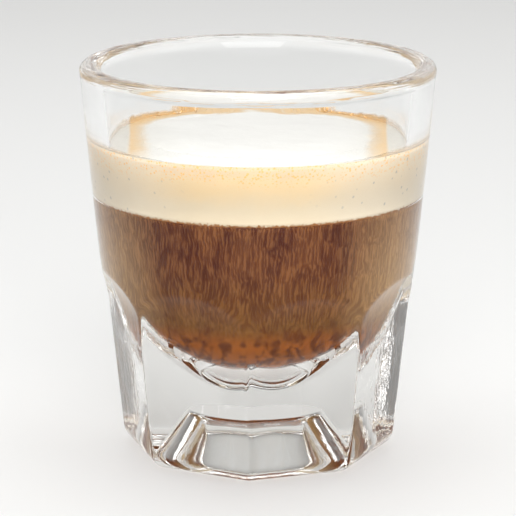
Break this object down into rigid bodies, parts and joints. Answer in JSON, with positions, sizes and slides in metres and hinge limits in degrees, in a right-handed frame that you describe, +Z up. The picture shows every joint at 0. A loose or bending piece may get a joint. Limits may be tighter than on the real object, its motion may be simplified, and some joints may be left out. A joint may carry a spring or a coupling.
{
  "type": "espresso macchiato in its glass",
  "caption": "Espresso macchiato in a heavy faceted tumbler: dark espresso, a cream foam layer, a crema ring and a white foam cap.",
  "frame": {"origin": "on the glass's axis, in the plane that its base rests on", "axes": "+Z up along the axis, out of the mouth; corners of the faceted base lie on X and Y; the picture's side is -Y"},
  "size_m": [0.0696, 0.0696, 0.078],
  "materials": {
    "clear_glass": "polished",
    "espresso": "liquid gloss",
    "milk_foam": "fine wet foam",
    "crema": "bubbly foam",
    "foam_cap": "smooth soft foam"
  },
  "bodies": {
    "root": {"glass": "clear_glass", "coffee": "espresso", "milk_foam": "milk_foam", "crema_ring": "crema", "foam_cap": "foam_cap"}
  },
  "joints": []
}
